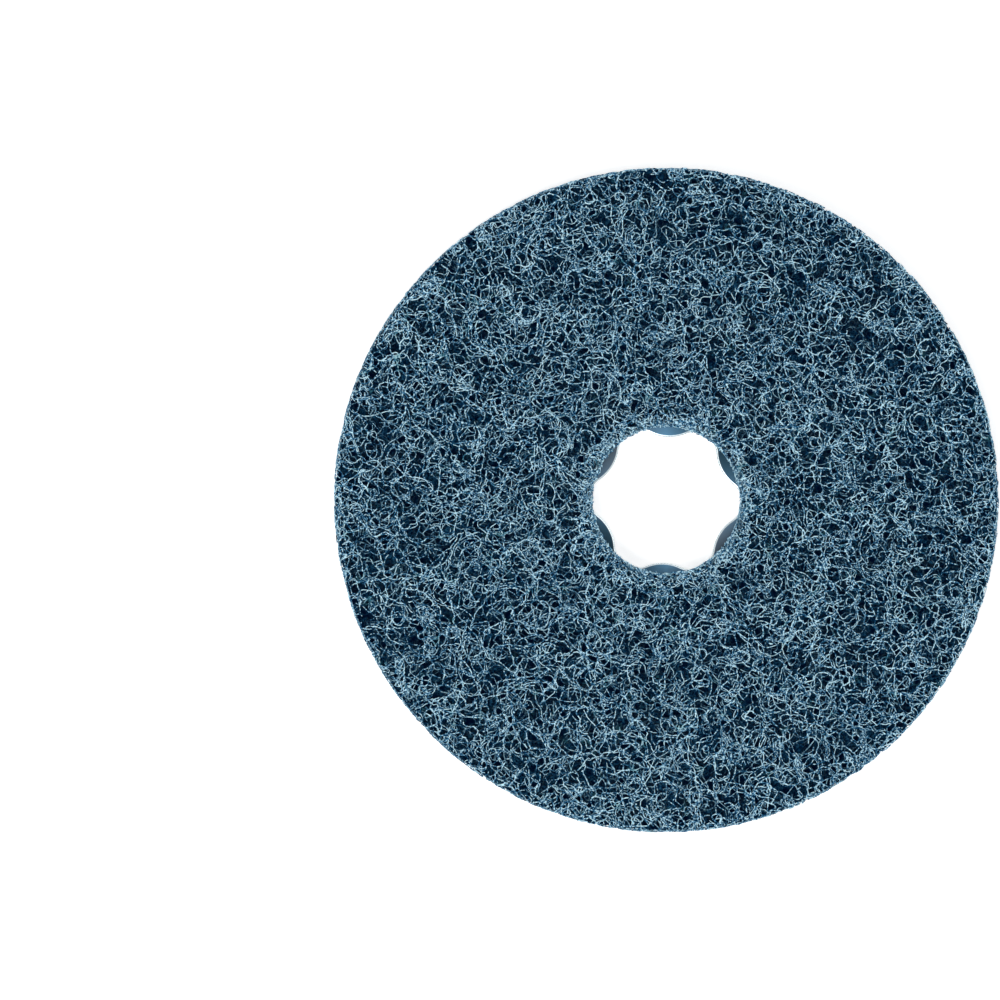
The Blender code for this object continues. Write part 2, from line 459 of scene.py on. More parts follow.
def curled_fibre_tree(inputs):
    """Geometry Nodes with these inputs that grow curled fibres in a layer under z = Top, cut by a die."""
    tree = bpy.data.node_groups.new("curled_fibres", "GeometryNodeTree")
    tree.interface.new_socket("Geometry", in_out="INPUT", socket_type="NodeSocketGeometry")
    tree.interface.new_socket("Geometry", in_out="OUTPUT", socket_type="NodeSocketGeometry")
    for name, value in inputs.items():
        tree.interface.new_socket(name, in_out="INPUT", socket_type=SOCKET_KINDS[type(value)])
    given = add_node(tree, "NodeGroupInput")
    seed = given["Seed"]

    lines = scattered_lines(tree, given)
    fibre = whole_number(tree, "fibre")
    step = whole_number(tree, "step")
    places = walked_places(given, fibre, step)
    for spacing, radius in WEB_HOLES:
        places = away_from_holes(places, spacing, radius, given["Hole Push"])
    grown = add_node(tree, "GeometryNodeSetPosition", Geometry=lines, Position=places)
    place = point_place(tree)
    cut = cut_by_die(given, grown["Geometry"], place)
    toned = stored(cut, "tone", random_for(fibre, 0.0, 1.0, seed, TONE))
    depth = given["Top"] - place["Z"] + given["Top Depth"]
    strands = add_node(tree, "GeometryNodeMeshToCurve", Mesh=stored(toned, "depth", depth))
    section = add_node(tree, "GeometryNodeCurvePrimitiveCircle", Resolution=3, Radius=given["Fibre Radius"])
    thickness = random_for(fibre, *FIBRE_SIZES, seed, THICKNESS)
    lumps = random_for(point_number(tree), *POINT_SIZES, seed, LUMPS)
    tube = {"Curve": strands["Curve"], "Profile_Curve": section["Curve"], "Scale": thickness * lumps}
    tubes = add_node(tree, "GeometryNodeCurveToMesh", **tube, Fill_Caps=True)["Mesh"]
    smooth = add_node(tree, "GeometryNodeSetShadeSmooth", Geometry=tubes)["Geometry"]
    whole = add_node(tree, "GeometryNodeRealizeInstances", Geometry=smooth)["Geometry"]
    dressed = add_node(tree, "GeometryNodeSetMaterial", Geometry=whole, Material=given["Material"])
    add_node(tree, "NodeGroupOutput", Geometry=dressed["Geometry"])
    return tree


def round_points(radius, count):
    """Points round a circle on the flat."""
    angles = (math.tau * step / count for step in range(count))
    return [(radius * math.cos(angle), radius * math.sin(angle), 0.0) for angle in angles]


def flat_ring_bed(inner, outer):
    """A flat ring-shaped mesh for fibres to grow on."""
    points = [point for radius in (inner, outer) for point in round_points(radius, BED_STEPS)]
    faces = []
    for step in range(BED_STEPS):
        after = (step + 1) % BED_STEPS
        faces.append((step, BED_STEPS + step, BED_STEPS + after, after))
    mesh = bpy.data.meshes.new("ring_bed")
    mesh.from_pydata(points, [], faces)
    return mesh


def flat_rectangle(name, left, right, low, high):
    """A flat rectangle: the floor, or a bed for the fibres of a wall, which are wrapped round afterwards."""
    mesh = bpy.data.meshes.new(name)
    corners = [(left, low, 0.0), (right, low, 0.0), (right, high, 0.0), (left, high, 0.0)]
    mesh.from_pydata(corners, [], [(0, 1, 2, 3)])
    return mesh


def add_object(name, data):
    """A new object in the scene for a mesh, a light or a camera."""
    thing = bpy.data.objects.new(name, data)
    bpy.context.scene.collection.objects.link(thing)
    return thing


def grow_fibres(bed_mesh, inputs):
    """Runs the fibre tree on a bed with these named inputs and returns its fibres as a plain mesh."""
    tree = bpy.data.node_groups.get("curled_fibres") or curled_fibre_tree(inputs)
    bed = add_object("fibre_bed", bed_mesh)
    grower = bed.modifiers.new("fibres", "NODES")
    grower.node_group = tree
    identifiers = {item.name: item.identifier for item in tree.interface.items_tree if item.in_out == "INPUT"}
    for name, value in inputs.items():
        grower[identifiers[name]] = value
    evaluated = bed.evaluated_get(bpy.context.evaluated_depsgraph_get())
    mesh = bpy.data.meshes.new_from_object(evaluated)
    bpy.data.objects.remove(bed)
    bpy.data.meshes.remove(bed_mesh)
    if not mesh.polygons:
        raise RuntimeError("the fibre tree made no fibres")
    return mesh


def reshape(mesh, change):
    """Moves a mesh's vertices by a function from their places to new ones, as numpy columns."""
    places = numpy.empty(len(mesh.vertices) * 3, dtype=numpy.float32)
    mesh.vertices.foreach_get("co", places)
    moved = numpy.stack(change(*places.reshape(-1, 3).T.astype(float)), axis=1)
    mesh.vertices.foreach_set("co", moved.astype(numpy.float32).ravel())
    mesh.update()


def add_piece(name, mesh, slot, *replaced):
    """Makes a finished piece of a mesh: it rides on the body and may replace CAD nodes."""
    mesh.name = name
    piece = add_object(name, mesh)
    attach(piece, BODY)
    if replaced:
        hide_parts(*replaced)
    return piece


def skin_mesh(name, loops, material):
    """A smooth closed mesh that joins each loop of points to the next, and the last to the first."""
    count = len(loops[0])
    points = [tuple(point) for loop in loops for point in loop]
    faces = []
    for row in range(len(loops)):
        near = row * count
        far = (row + 1) % len(loops) * count
        for step in range(count):
            after = (step + 1) % count
            faces.append((near + step, near + after, far + after, far + step))
    mesh = bpy.data.meshes.new(name)
    mesh.from_pydata(points, [], faces)
    form = bmesh.new()
    form.from_mesh(mesh)
    bmesh.ops.recalc_face_normals(form, faces=form.faces)
    form.to_mesh(mesh)
    form.free()
    mesh.shade_smooth()
    mesh.materials.append(material)
    return mesh


def new_material(name):
    """An empty material, its shader's sockets and the place on the piece, in the CAD's frame."""
    material = bpy.data.materials.new(name)
    material.use_nodes = True
    tree = material.node_tree
    place = add_node(tree, "ShaderNodeTexCoord")["Object"]
    return material, tree.nodes["Principled BSDF"].inputs, place


def dimmed(colour, share):
    """A colour made darker, or lighter by a share over 1."""
    return tuple(part * share for part in colour)


def blended(share, first, second, way="MIX"):
    """A colour between two colours or outputs, or their product with the first, by a share from 0 to 1."""
    settings = {"data_type": "RGBA", "blend_type": way}
    return add_node(share, "ShaderNodeMix", settings, Factor=share, A=first, B=second)["Result"]


def three_tones(share, low, middle, high):
    """A colour that goes from low over middle to high as share goes from 0 over a half to 1."""
    node = share.tree.nodes.new("ShaderNodeValToRGB")
    feed(node.inputs["Fac"], share)
    stops = node.color_ramp.elements
    stops[0].color = (*low, 1.0)
    stops[1].color = (*high, 1.0)
    stops.new(0.5).color = (*middle, 1.0)
    return Output(node.outputs["Color"])


def ramped(value, low, high):
    """A value mapped from low..high to 0..1 with soft ends."""
    settings = {"interpolation_type": "SMOOTHSTEP"}
    return add_node(value, "ShaderNodeMapRange", settings, Value=value, From_Min=low, From_Max=high)["Result"]


def noise_value(place, scale, detail=2.0):
    """Cloud noise at a scale in cells for each metre."""
    return add_node(place, "ShaderNodeTexNoise", Vector=place, Scale=scale, Detail=detail)["Fac"]


def stored_value(where, name):
    """A number that the mesh carries for its material."""
    return add_node(where, "ShaderNodeAttribute", {"attribute_name": name})["Fac"]


def roughen(shader, height, distance, strength):
    """Gives the shader's surface a relief."""
    bump = add_node(height, "ShaderNodeBump", Height=height, Strength=strength, Distance=distance)
    feed(shader["Normal"], bump["Normal"])


def matted(shader, colour, relief, distance):
    """Ends a material of matted fibre: its colour, a deep relief and no shine."""
    feed(shader["Base Color"], colour)
    roughen(shader, relief, distance, strength=1.0)
    shader["Roughness"].default_value = 0.8
    shader["Specular IOR Level"].default_value = 0.0


# Painted shade: light that has gone deep into the web is bluer, so deeper fibre is tinted bluer
DEPTH_SHADE_TINT = (0.55, 0.85, 1.0)

# Noise that varies the fibre's tone and relief, in cells for each metre
GRAIN_SCALE = 9000.0
TINT_SCALE = 420.0
SPARKLE_SCALE = 2900.0
BROAD_SPARKLE_SCALE = SPARKLE_SCALE * 0.6

# Of a strand's tone, how much comes from noise along it and how much from the strand, and the sum's two ends
SPARKLE_SHARE = 2.3
TONE_SHARE = 0.25
TONE_ENDS = (0.82, 1.55)

# Where painted shade starts to darken a fibre and where it is darkest, as shares of the heart's depth
DEPTH_SHADING = (0.06, 0.62)
DEEPEST_SHADE = 0.97

# Nets of matted fibre as (coarse, fine, width of a line); coarse and fine in cells for each metre
FELT_NET = (1000.0, 1900.0, 0.2)
CUT_NET = (800.0, 1500.0, 0.22)
HEART_NET = (1300.0, 2500.0, 0.2)
NET_WARP_FINENESS = 0.8
NET_WARP_REACH = 1.1
FINE_NET_TONE = 0.8

# The felt's loose loops, with their least radius and its spread as shares of their spacing, and the streaks
# that the needling leaves
LOOP_WIDTH = 0.00017
LOOP_SPACINGS = (0.0024, 0.0019)
LOOP_SIZES = (0.22, 0.3)
LOOPS_APART = 0.013
STREAK_SCALE = 140.0
STREAK_STRETCH = 3.0
STREAK_TURN = math.radians(35)
STREAK_DARKNESS = 0.5

# Tints that noise mixes into the fibre, how much of each at most, and how far aside the brown's noise lies
TEAL = (0.10, 0.34, 0.36)
TEAL_SHARE = 0.35
BROWN = (0.07, 0.065, 0.055)
BROWN_SHARE = 0.08
BROWN_ASIDE = (0.3, 0.1, 0.2)


def tinted(place, colour):
    """Scattered small tints of teal and of brown in the fibre."""
    teal = ramped(noise_value(place, TINT_SCALE, detail=3.0), 0.60, 0.72)
    aside = add_node(place, "ShaderNodeMapping", Vector=place, Location=BROWN_ASIDE)
    brown = ramped(noise_value(aside["Vector"], TINT_SCALE, detail=3.0), 0.62, 0.74)
    with_teal = blended(teal * TEAL_SHARE, colour, TEAL)
    return blended(brown * BROWN_SHARE, with_teal, BROWN)


def streaks(place):
    """Soft diagonal streaks: 0 between them and 1 in their middle."""
    turn = (0.0, 0.0, STREAK_TURN)
    stretch = (1.0, STREAK_STRETCH, 1.0)
    turned = add_node(place, "ShaderNodeMapping", Vector=place, Rotation=turn, Scale=stretch)
    return ramped(noise_value(turned["Vector"], STREAK_SCALE, detail=1.0), 0.45, 0.7)


def fibre_material(name, tones, deep_shade, layer):
    """Coated synthetic fibre: its tone differs from fibre to fibre, and painted shade darkens it with its
    depth.
    """
    material, shader, place = new_material(name)
    # Painted shade: with depth the fibre turns bluer and then takes the deep colour
    sunk = ramped(stored_value(place, "depth"), *(layer * share for share in DEPTH_SHADING))
    sparkle = noise_value(place, SPARKLE_SCALE) * SPARKLE_SHARE
    tone = stored_value(place, "tone") * TONE_SHARE
    bright = three_tones(ramped(tone + sparkle, *TONE_ENDS), *tones)
    cooled = blended(sunk, tinted(place, bright), DEPTH_SHADE_TINT, "MULTIPLY")
    feed(shader["Base Color"], blended(sunk * DEEPEST_SHADE, cooled, deep_shade))
    roughen(shader, noise_value(place, GRAIN_SCALE), distance=0.00006, strength=0.35)
    shader["Roughness"].default_value = 0.55
    shader["Specular IOR Level"].default_value = 0.02
    return material


def fibre_net(place, scale, width):
    """Curled lines along the edges of warped cells: 1 on a line and 0 between lines."""
    warp = add_node(place, "ShaderNodeTexNoise", Vector=place, Scale=scale * NET_WARP_FINENESS, Detail=2.0)
    warped = vectors("ADD", place, scaled(warp["Color"], NET_WARP_REACH / scale))
    settings = {"feature": "DISTANCE_TO_EDGE"}
    cells = add_node(place, "ShaderNodeTexVoronoi", settings, Vector=warped, Scale=scale)
    return 1.0 - ramped(cells["Distance"], 0.0, width)


def between_holes(place):
    """0 in the middle of the web's coarse holes and 1 between them."""
    spacing, radius = WEB_HOLES[0]
    _level, cells = hole_cells(place, spacing)
    return ramped(cells["Distance"] * spacing, 0.0, radius * HOLE_EDGE)


def two_nets(place, coarse, fine, width):
    """A coarse net over a dimmer fine one, both given in cells for each metre."""
    upper = fibre_net(place, coarse, width)
    lower = fibre_net(place, fine, width) * FINE_NET_TONE
    return greater(upper, lower)


def felt_loops(place, spacing, aside):
    """Small round loops of fibre on the flat: 1 on a loop and 0 beside it; aside keeps two layers apart."""
    moved = add_node(place, "ShaderNodeMapping", Vector=place, Location=(aside, 2 * aside, 0.0))
    _level, cells = hole_cells(moved["Vector"], spacing)
    distance = cells["Distance"] * spacing
    least, spread = LOOP_SIZES
    radius = parts(cells["Color"])["X"] * (spacing * spread) + spacing * least
    beside = calculate("ABSOLUTE", distance - radius)
    return 1.0 - ramped(beside, 0.0, LOOP_WIDTH)


def felt_base_material(name, pale, middle, gap_shade):
    """The felt under the back's loose loops: a close net over small gaps painted dark as shade, and paler
    loops on it.
    """
    material, shader, place = new_material(name)
    lit = ramped(noise_value(place, SPARKLE_SCALE), 0.25, 0.6)
    net = two_nets(place, *FELT_NET) * lit
    shade = streaks(place) * STREAK_DARKNESS
    # Painted shade: the felt's gaps take the gap colour
    ground = blended(net, gap_shade, blended(shade, tinted(place, middle), gap_shade))
    loops = felt_loops(place, LOOP_SPACINGS[0], 0.0)
    for layer, spacing in enumerate(LOOP_SPACINGS[1:], start=1):
        loops = greater(loops, felt_loops(place, spacing, LOOPS_APART * layer))
    sparkle = ramped(noise_value(place, BROAD_SPARKLE_SCALE), 0.25, 0.5)
    colour = blended(loops * sparkle, ground, pale)
    matted(shader, colour, net + loops, distance=0.0002)
    return material


def cut_base_material(name, pale, middle, gap_shade):
    """The web where the die has cut it: matted fibre between gaps painted dark as shade."""
    material, shader, place = new_material(name)
    net = two_nets(place, *CUT_NET)
    lit = blended(ramped(noise_value(place, BROAD_SPARKLE_SCALE), 0.35, 0.75), middle, pale)
    # Painted shade: the gaps in the net take the dark gap colour
    matted(shader, blended(net, gap_shade, tinted(place, lit)), net, distance=0.0003)
    return material


def heart_material(name, middle, blue, deep_shade):
    """The dense inside of the web: a net of fibre, dimmed as painted shade, with its gaps and the web's holes
    painted dark as shade.
    """
    material, shader, place = new_material(name)
    # Painted shade: between the strands and in the web's holes the deep colour shows
    strands = two_nets(place, *HEART_NET) * between_holes(place)
    lit = blended(ramped(noise_value(place, SPARKLE_SCALE), 0.35, 0.65), blue, middle)
    matted(shader, blended(strands, deep_shade, tinted(place, lit)), strands, distance=0.0003)
    return material


def painted_reflection_tint(place, grey, blue, dark):
    """Painted reflection and shade on the front's blue plating: twice round, it turns from grey over blue to
    dark and back.
    """
    across = parts(place)
    product = across["X"] * across["Y"]
    squared = across["X"] * across["X"] + across["Y"] * across["Y"]
    share = product / squared + 0.5
    return three_tones(share, grey, blue, dark)


def painted_valley_shade(place, star_turn):
    """Painted shade on the flange outside the bead's valleys, where the bead rises from it: 1 where it is
    darkest.
    """
    across = parts(place)
    angle = calculate("ARCTAN2", across["Y"], across["X"]) - star_turn
    lobes = calculate("COSINE", angle * float(LOBE_COUNT))
    at_valley = ramped(lobes * -1.0, -0.2, 1.0)
    radius = from_axis(across)
    begun = ramped(radius, VALLEY_SHADE_START, VALLEY_SHADE_START + VALLEY_SHADE_WIDTH / 6)
    ended = ramped(radius, VALLEY_SHADE_START + VALLEY_SHADE_WIDTH / 4, VALLEY_SHADE_START + VALLEY_SHADE_WIDTH)
    ring = begun * (1.0 - ended)
    return ring * at_valley


def steel_material(name, flat, tints, bent, pressed, star_turn):
    """Plated steel: dull on its flats, with a painted highlight on its bends and edges and painted shade at
    the bead's feet and beside its valleys.
    """
    material, shader, place = new_material(name)
    bend = stored_value(place, "bend")
    # Painted highlight where the stored share is above nought; painted shade where it is below and beside the
    # valleys
    light_share = greater(bend, 0.0)
    marks = painted_valley_shade(place, star_turn) * VALLEY_SHADE_DARKNESS
    dark = greater(bend * -1.0, marks)
    grain = noise_value(place, PLATING_GRAIN, detail=3.0)
    cloud = noise_value(place, PLATING_CLOUD, detail=3.0)
    speckle = grain * 0.8 + cloud * 0.4
    plain = blended(ramped(speckle, 0.35, 0.85), dimmed(flat, 0.8), dimmed(flat, 1.25))
    # Painted reflection and shade that turn twice round the front face, over the plating's own blue
    reflection_tint = painted_reflection_tint(place, *tints)
    tinged = blended(stored_value(place, "front") * FRONT_TINT_SHARE, plain, reflection_tint)
    bright = blended(light_share, tinged, bent)
    feed(shader["Base Color"], blended(dark, bright, pressed))
    smoother = light_share * (FLAT_ROUGHNESS - BENT_ROUGHNESS)
    feed(shader["Roughness"], FLAT_ROUGHNESS - smoother)
    roughen(shader, grain, distance=0.00003, strength=0.25)
    shader["Metallic"].default_value = 1.0
    return material


def matted_share(web, radius):
    """1 where the die has matted the web, at its rim and its bore, and 0 from a band's width away."""
    from_rim = WEB_HIGH.x - web.skin_depth - radius
    from_bore = radius - web.bore_radius - web.skin_depth
    away = min(1.0, max(0.0, min(from_rim, from_bore) / web.cut_band))
    return 1 - away * away * (3 - 2 * away)


# How much of the tufts the die presses flat where it mats the web
FLATTENED = 0.8


def heart_profile(web):
    """The heart's section as (radius, height, share of tufts), from the bore's lower end to its upper end."""
    outer = WEB_HIGH.x - web.skin_depth
    bore = web.bore_radius + web.skin_depth
    back = WEB_LOW.z + web.skin_depth * 0.5
    seat = WEB_LOW.z + web.seat_depth
    face = WEB_HIGH.z - web.heart_depth
    profile = [(bore, seat, 0.0), (web.seat_radius, seat, 0.0), (web.seat_radius, back, 0.0)]
    for share in BACK_RINGS:
        profile.append((web.seat_radius + (outer - web.seat_radius) * share, back, 0.0))
    profile.append((outer, (back + face) / 2, 0.0))
    raised = web.heart_depth - web.skin_depth
    rim_band = numpy.linspace(outer, outer - web.cut_band, CUT_BAND_RINGS, endpoint=False)
    middle = numpy.linspace(outer - web.cut_band, bore + web.cut_band, HEART_RINGS_ACROSS, endpoint=False)
    bore_band = numpy.linspace(bore + web.cut_band, bore, CUT_BAND_RINGS + 1)
    for radius in (*rim_band, *middle, *bore_band):
        cut = matted_share(web, radius)
        profile.append((radius, face + cut * raised, 1 - FLATTENED * cut))
    profile.append((bore, (back + face) / 2, 0.0))
    return profile


# The tufts' spacing
TUFT_SPACING = 0.0016


def tuft_height(x, y):
    """How far a tuft of the heart rises at one place, from about -1 to 1."""
    broad = noise.noise(Vector((x, y, 0.0)) / TUFT_SPACING)
    fine = noise.noise(Vector((y, x, TUFT_SPACING)) / (TUFT_SPACING / 2))
    return broad + 0.5 * fine


def heart_loops(web):
    """The heart's loops, tufted on the face."""
    loops = []
    for radius, height, tufted in heart_profile(web):
        bumps = tufted * web.heart_bumps
        circle = round_points(radius, HEART_STEPS_ROUND)
        loops.append([(x, y, height + bumps * tuft_height(x, y)) for x, y, _level in circle])
    return loops


class FibreLayer(NamedTuple):
    """One layer of fibre: how many a square metre, their steps and curls, and how deep they lie."""

    name: str
    density: float
    steps: int
    step_length: float
    thickness: float
    curl: float
    change: float
    kink: float
    tilt: float
    push: float
    depth: float
    top_depth: float


# Thickness and curl are shares of the web's fibre radius and curl radius, and in the felt of the felt's
FACE_LAYERS = (
    FibreLayer("deep_fibres", 200e3, 12, 0.00055, 1.2, 1.1, 1.6, 0.50, 0.45, 0.4, 0.0006, 0.0006),
    FibreLayer("lower_curls", 290e3, 12, 0.00052, 1.05, 1.0, 1.8, 0.55, 0.45, 0.7, 0.0005, 0.0003),
    FibreLayer("upper_curls", 295e3, 12, 0.00052, 1.1, 1.1, 1.9, 0.55, 0.40, 0.8, 0.0004, 0.0),
    FibreLayer("long_strands", 130e3, 16, 0.00060, 1.0, 2.6, 2.2, 0.40, 0.35, 0.8, 0.0003, 0.0),
)
BORE_MAT = FibreLayer("bore_mat", 1800e3, 12, 0.00032, 0.95, 0.8, 1.4, 0.5, 0.3, 0.2, 0.0003, 0.0)
RIM_MAT = FibreLayer("rim_mat", 950e3, 12, 0.0004, 1.1, 0.9, 1.6, 0.5, 0.3, 0.5, 0.0003, 0.0)
RIM_LAYER = FibreLayer("rim_fibres", 680e3, 9, 0.00045, 1.1, 1.0, 1.2, 0.4, 0.4, 0.4, 0.00045, 0.0)
BORE_LAYER = FibreLayer("bore_fibres", 1000e3, 9, 0.0004, 1.1, 1.0, 1.2, 0.4, 0.4, 0.4, 0.00045, 0.0)
FELT_LAYER = FibreLayer("back_felt", 380e3, 10, 0.0005, 1.1, 1.0, 0.7, 0.25, 0.25, 0.2, 0.0002, 0.0)
BORE_MAT_WIDTH = 0.0022
RIM_MAT_WIDTH = 0.0013
LOOSE_REACH = 0.0003

# Each layer's number sets its seed apart; the face's layers have the numbers before these
SEED_STEP = 10
RIM_NUMBER = 7
BORE_NUMBER = 8
FELT_NUMBER = 9


def layer_inputs(web, layer, number, material, top, inner, outer, low=-NO_BOUND, high=NO_BOUND):
    """The fibre tree's named inputs for one layer, which is cut between two radii or two bounds on Y."""
    fine = layer is FELT_LAYER
    return {
        "Density": layer.density,
        "Steps": layer.steps,
        "Step Length": layer.step_length,
        "Fibre Radius": (web.felt_radius if fine else web.fibre_radius) * layer.thickness,
        "Curl Radius": (web.felt_curl if fine else web.curl_radius) * layer.curl,
        "Curl Change": layer.change,
        "Kink": layer.kink,
        "Tilt": layer.tilt,
        "Hole Push": layer.push,
        "Layer Depth": layer.depth,
        "Top": top,
        "Top Depth": layer.top_depth,
        "Inner Radius": inner,
        "Outer Radius": outer,
        "Low Y": low,
        "High Y": high,
        "Seed": web.seed + SEED_STEP * number,
        "Material": material,
    }


def coarse_fibre(context):
    """The coarse fibre's material, made once."""
    colours = context.scene.disc_colours
    return bpy.data.materials.get("coarse_fibre") or fibre_material(
        "coarse_fibre",
        (colours.blue_fibre, colours.middle_fibre, colours.pale_fibre),
        colours.deep_fibre_shade,
        context.scene.disc_web.heart_depth,
    )


def add_face_layer(context, layer, number, inner, outer, loose=0.0):
    """One layer of curled fibre on the face, rooted between two radii; loose fibre reaches into the bore."""
    web = context.scene.disc_web
    top = WEB_HIGH.z - layer.top_depth - web.fibre_radius
    bore = web.bore_radius + web.fibre_radius - loose
    rim = WEB_HIGH.x - web.fibre_radius
    inputs = layer_inputs(web, layer, number, coarse_fibre(context), top, bore, rim)
    mesh = grow_fibres(flat_ring_bed(inner, outer), inputs)
    add_piece(layer.name, mesh, WEB_SLOT)


def add_wall_layer(context, layer, number, radius, outward):
    """The cut fibre of a round wall; outward is 1 where the wall faces away from the disc's axis, or -1."""
    web = context.scene.disc_web
    low = WEB_LOW.z + web.fibre_radius
    high = WEB_HIGH.z - web.fibre_radius
    inputs = layer_inputs(web, layer, number, coarse_fibre(context), 0.0, 0.0, NO_BOUND, low, high)
    mesh = grow_fibres(flat_rectangle("strip_bed", 0.0, math.tau * radius, low, high), inputs)

    def wrap(along, up, depth):
        angle = outward * along / radius
        distance = radius + outward * (depth - web.fibre_radius)
        return distance * numpy.cos(angle), distance * numpy.sin(angle), up

    reshape(mesh, wrap)
    add_piece(layer.name, mesh, WEB_SLOT)


# Past which upright part of its normal a face looks up or down, and past which share it is matted
LOOKS_UP = 0.5
LOOKS_DOWN = -0.9
CLEARLY_MATTED = 0.3


def is_cut(web, face):
    """Whether a face of the heart lies on the rim's wall, or on the bore's wall or in the band round it."""
    radius = face.center.xy.length
    on_face = face.normal.z > LOOKS_UP and radius > web.bore_radius + 2 * web.cut_band
    over_seat = face.center.z > WEB_LOW.z + web.seat_depth
    return over_seat and not on_face and matted_share(web, radius) > CLEARLY_MATTED


class DISC_OT_web_heart(bpy.types.Operator):
    """Build the dense heart of the web, which shows dimly between the fibres."""

    bl_idname = "disc.web_heart"
    bl_label = "Web heart"

    def execute(self, context):
        colours = context.scene.disc_colours
        web = context.scene.disc_web
        pale, middle, deep_shade = colours.pale_fibre, colours.middle_fibre, colours.deep_fibre_shade
        felt = (dimmed(colours.felt_pale, 0.95), colours.felt_blue, colours.felt_gap_shade)
        # Painted shade: the heart lies under the fibre, so its middle tone is dimmed
        inside = heart_material("web_heart", dimmed(middle, 0.4), colours.blue_fibre, deep_shade)
        mesh = skin_mesh("web_heart", heart_loops(web), inside)
        mesh.materials.append(felt_base_material("felt_base", *felt))
        mesh.materials.append(cut_base_material("cut_base", dimmed(pale, 0.5), dimmed(middle, 0.5), deep_shade))
        felt_side, cut_side = 1, 2
        for face in mesh.polygons:
            if face.normal.z < LOOKS_DOWN and face.center.z < WEB_LOW.z + web.seat_depth / 2:
                face.material_index = felt_side
            elif is_cut(web, face):
                face.material_index = cut_side
        add_piece("web_heart", mesh, WEB_SLOT, WEB_NODE)
        return {"FINISHED"}


class DISC_OT_face_fibres(bpy.types.Operator):
    """Grow the coarse curled fibre of the abrasive face, and the matted fibre at its bore and its rim."""

    bl_idname = "disc.face_fibres"
    bl_label = "Face fibres"

    def execute(self, context):
        bore = context.scene.disc_web.bore_radius
        rim = WEB_HIGH.x
        for number, layer in enumerate(FACE_LAYERS, start=1):
            add_face_layer(context, layer, number, bore, rim)
        add_face_layer(context, BORE_MAT, len(FACE_LAYERS) + 1, bore, bore + BORE_MAT_WIDTH, LOOSE_REACH)
        add_face_layer(context, RIM_MAT, len(FACE_LAYERS) + 2, rim - RIM_MAT_WIDTH, rim)
        return {"FINISHED"}


class DISC_OT_cut_fibres(bpy.types.Operator):
    """Grow the cut fibre of the disc's rim and of its bore."""

    bl_idname = "disc.cut_fibres"
    bl_label = "Cut fibres"

    def execute(self, context):
        add_wall_layer(context, RIM_LAYER, RIM_NUMBER, WEB_HIGH.x, 1)
        add_wall_layer(context, BORE_LAYER, BORE_NUMBER, context.scene.disc_web.bore_radius, -1)
        return {"FINISHED"}


class DISC_OT_back_felt(bpy.types.Operator):
    """Grow the fine, dense felt of the back."""

    bl_idname = "disc.back_felt"
    bl_label = "Back felt"

    def execute(self, context):
        web = context.scene.disc_web
        colours = context.scene.disc_colours
        tones = (colours.felt_gap_shade, colours.felt_blue, colours.felt_pale)
        # Painted shade: the felt's fibre darkens with its depth to the gap colour
        material = fibre_material("felt_fibre", tones, colours.felt_gap_shade, web.skin_depth * 2)
        rim = WEB_HIGH.x - web.felt_radius
        inputs = layer_inputs(web, FELT_LAYER, FELT_NUMBER, material, 0.0, web.seat_radius, rim)
        mesh = grow_fibres(flat_ring_bed(web.seat_radius, WEB_HIGH.x), inputs)
        reshape(mesh, lambda x, y, z: (x, -y, WEB_LOW.z + web.felt_radius - z))
        add_piece(FELT_LAYER.name, mesh, WEB_SLOT)
        return {"FINISHED"}


def wall_of_bead(rise, foot_radius, crest_radius, wall_angle):
    """The slope of one wall of the bead and the straight length left between its two bends."""
    radii = foot_radius + crest_radius
    slope = min(wall_angle, math.acos(max(0.0, 1 - rise / radii)))
    return slope, (rise - radii * (1 - math.cos(slope))) / math.sin(slope)


# How far from the hole the painted highlight on its sheared edge ends, in roundings of the edge
EDGE_SHINE = 2.2

# How bright the painted highlight on the bead's wall is beside its bends and for how much of its height, and
# how dark the painted shade at its feet and the painted dark reflection along its crest are
WALL_SHINE = 0.9
BRIGHT_WALL = 0.75
LIP_FOOT_SHADE = -0.2
FLANGE_FOOT_SHADE = -0.85
CREST_DARK_REFLECTION = -0.35


class SheetPath:
    """The middle of the ring's sheet, walked outward from the hole's edge."""

    def __init__(self, height):
        self.points = [(0.0, height, 0.0, 0.0)]

    def go_straight(self, length, pieces, light_share=0.0):
        """Adds a flat or sloping run as (distance, height, heading, share of painted light: highlight above
        nought, shade below).
        """
        for _piece in range(pieces):
            distance, height, heading, _bent = self.points[-1]
            run = length / pieces
            place = (distance + run * math.cos(heading), height + run * math.sin(heading))
            self.points.append((*place, heading, light_share))

    def go_round(self, turn, radius, light_share=1.0):
        """Adds a bend; a positive turn goes up."""
        distance, height, heading, _bent = self.points[-1]
        side = math.copysign(radius, turn)
        for step in range(1, BEND_STEPS + 1):
            angle = heading + turn * step / BEND_STEPS
            across = distance - side * math.sin(heading) + side * math.sin(angle)
            up = height + side * math.cos(heading) - side * math.cos(angle)
            self.points.append((across, up, angle, light_share))


